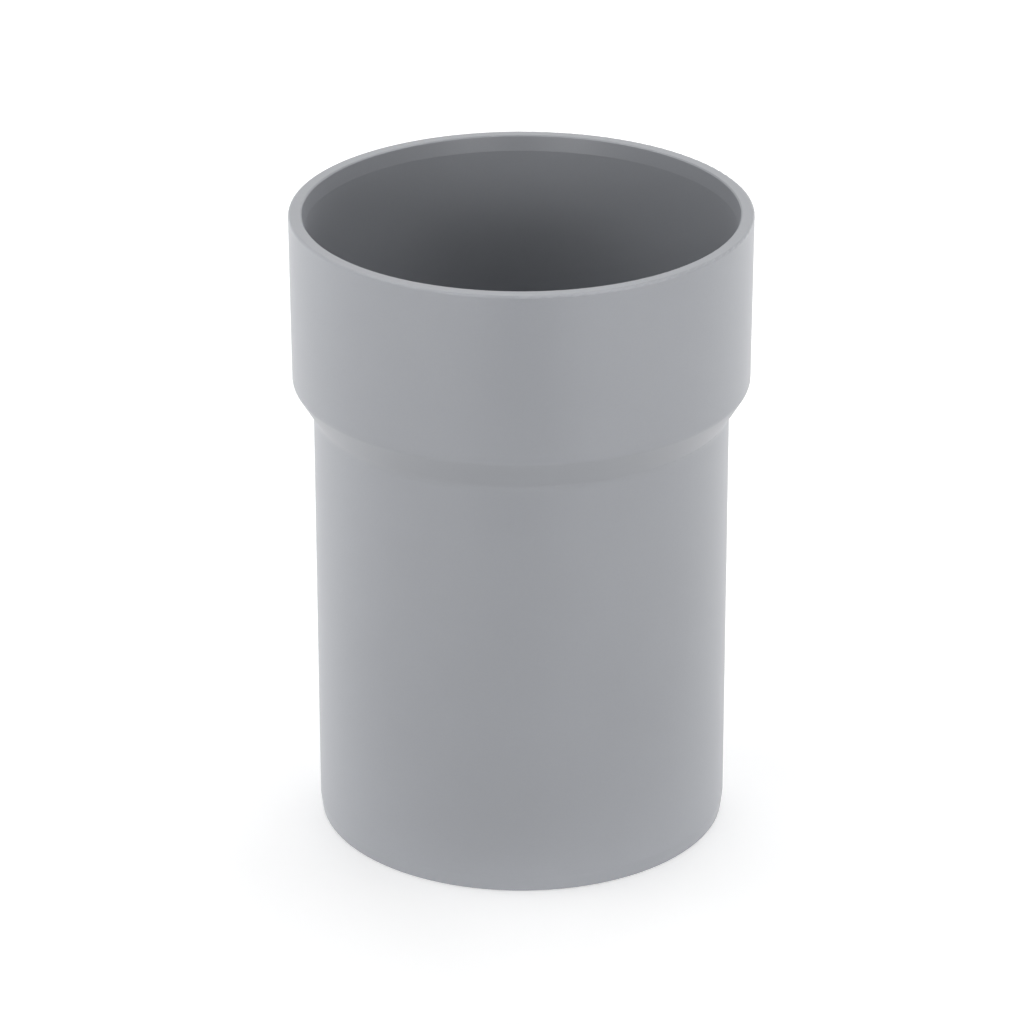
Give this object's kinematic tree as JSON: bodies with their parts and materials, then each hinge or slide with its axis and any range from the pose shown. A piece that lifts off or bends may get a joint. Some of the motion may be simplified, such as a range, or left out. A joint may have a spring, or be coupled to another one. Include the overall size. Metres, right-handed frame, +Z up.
{
  "type": "pipe socket",
  "caption": "Plain grey plastic pipe socket: a straight chamfered spigot that widens through a conical shoulder into a push-in socket with a lead-in at its mouth, open right through.",
  "frame": {"origin": "centre of the spigot's end face, the face that the fitting stands on", "axes": "+Z up along the pipe's axis, from the spigot's end to the socket's mouth; X and Y are free, because the fitting is a body of revolution"},
  "size_m": [0.1216, 0.1216, 0.1717],
  "materials": {
    "pvc": "satin moulded unplasticised PVC, cool mid grey"
  },
  "bodies": {
    "root": {"pipe_socket": "pvc"}
  },
  "joints": []
}
